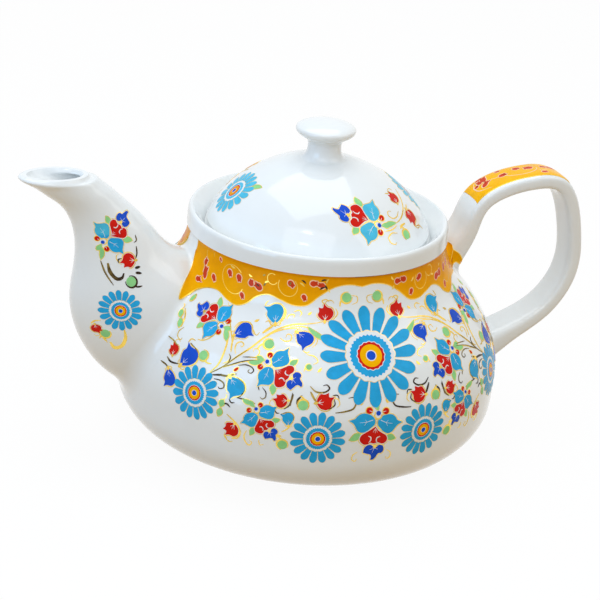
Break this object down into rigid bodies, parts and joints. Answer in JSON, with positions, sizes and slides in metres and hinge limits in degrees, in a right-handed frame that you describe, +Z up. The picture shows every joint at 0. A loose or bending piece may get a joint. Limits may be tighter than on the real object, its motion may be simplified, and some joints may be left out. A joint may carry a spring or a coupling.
{
  "type": "teapot",
  "caption": "Round-bellied white porcelain teapot with a swan-neck spout, angular ear handle, domed lift-off lid with a mushroom knob, and an orange enamel collar band over painted flowers.",
  "frame": {"origin": "on the pot's turned axis, in the plane of the foot ring", "axes": "+Z up along the pot's axis, spout toward -X, handle toward +X, front of the decoration toward -Y"},
  "size_m": [0.2584, 0.1682, 0.1435],
  "materials": {
    "porcelain": "glossy clear glaze over white porcelain",
    "orange_enamel": "glossy fired orange overglaze enamel"
  },
  "bodies": {
    "pot": {"pot_body": "porcelain", "spout": "porcelain", "handle": "porcelain", "band_front": "orange_enamel", "band_back": "orange_enamel", "handle_strip": "orange_enamel"},
    "cover": {"lid": "porcelain", "lid_knob": "porcelain"}
  },
  "joints": [
    {"name": "lid_lift", "type": "slide", "parent": "pot", "child": "cover", "axis": [0, 0, 1], "range_m": [0, 0.06]}
  ]
}
